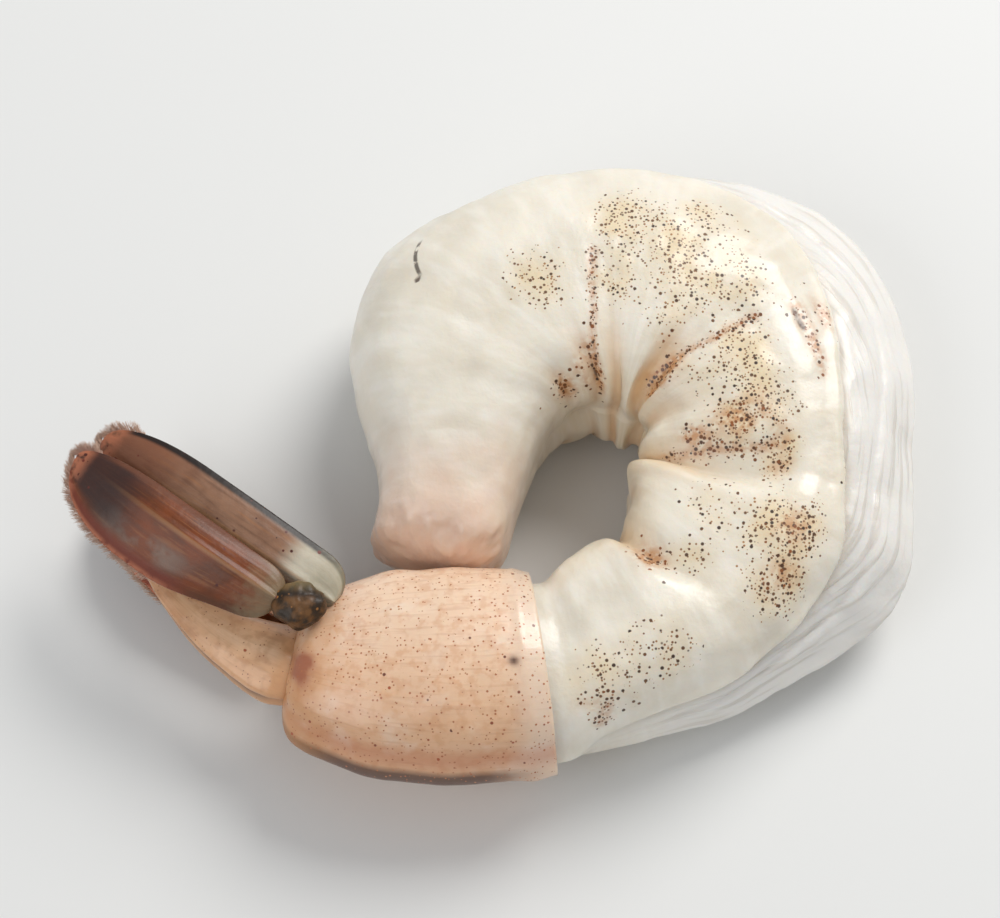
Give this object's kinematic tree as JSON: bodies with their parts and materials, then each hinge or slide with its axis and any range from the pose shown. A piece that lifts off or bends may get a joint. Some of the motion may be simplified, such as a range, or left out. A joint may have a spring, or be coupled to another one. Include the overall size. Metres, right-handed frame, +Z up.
{
  "type": "raw peeled white shrimp with its tail fan",
  "caption": "Raw white shrimp without its head, peeled and slit along the back, curled on one flank, with the last ring of shell and the tail fan left on.",
  "frame": {"origin": "centre of the bounding box in X and Y, on the surface that the shrimp lies on", "axes": "+Z up, out of the upper flank. +X along the longest side of the curl, away from the tail fan. +Y across the curl, from the shell of the tail towards the top of the curl, away from the picture's camera"},
  "size_m": [0.0658, 0.0524, 0.0166],
  "materials": {
    "flesh": "wet, translucent white muscle with fine brown specks",
    "tail_shell": "wet, thin shell, peach to tan, with fine lines along it",
    "telson": "wet, thin shell, tan with a dark edge",
    "uropod_base": "wet, dark olive shell",
    "uropod_blade": "wet, dark brown shell with a reddish fringe"
  },
  "bodies": {
    "root": {"flesh": "flesh", "tail_shell": "tail_shell", "telson": "telson", "uropod_base_upper": "uropod_base", "uropod_base_lower": "uropod_base", "uropod_inner_upper": "uropod_blade", "uropod_inner_lower": "uropod_blade", "uropod_outer_upper": "uropod_blade", "uropod_outer_lower": "uropod_blade"}
  },
  "joints": []
}
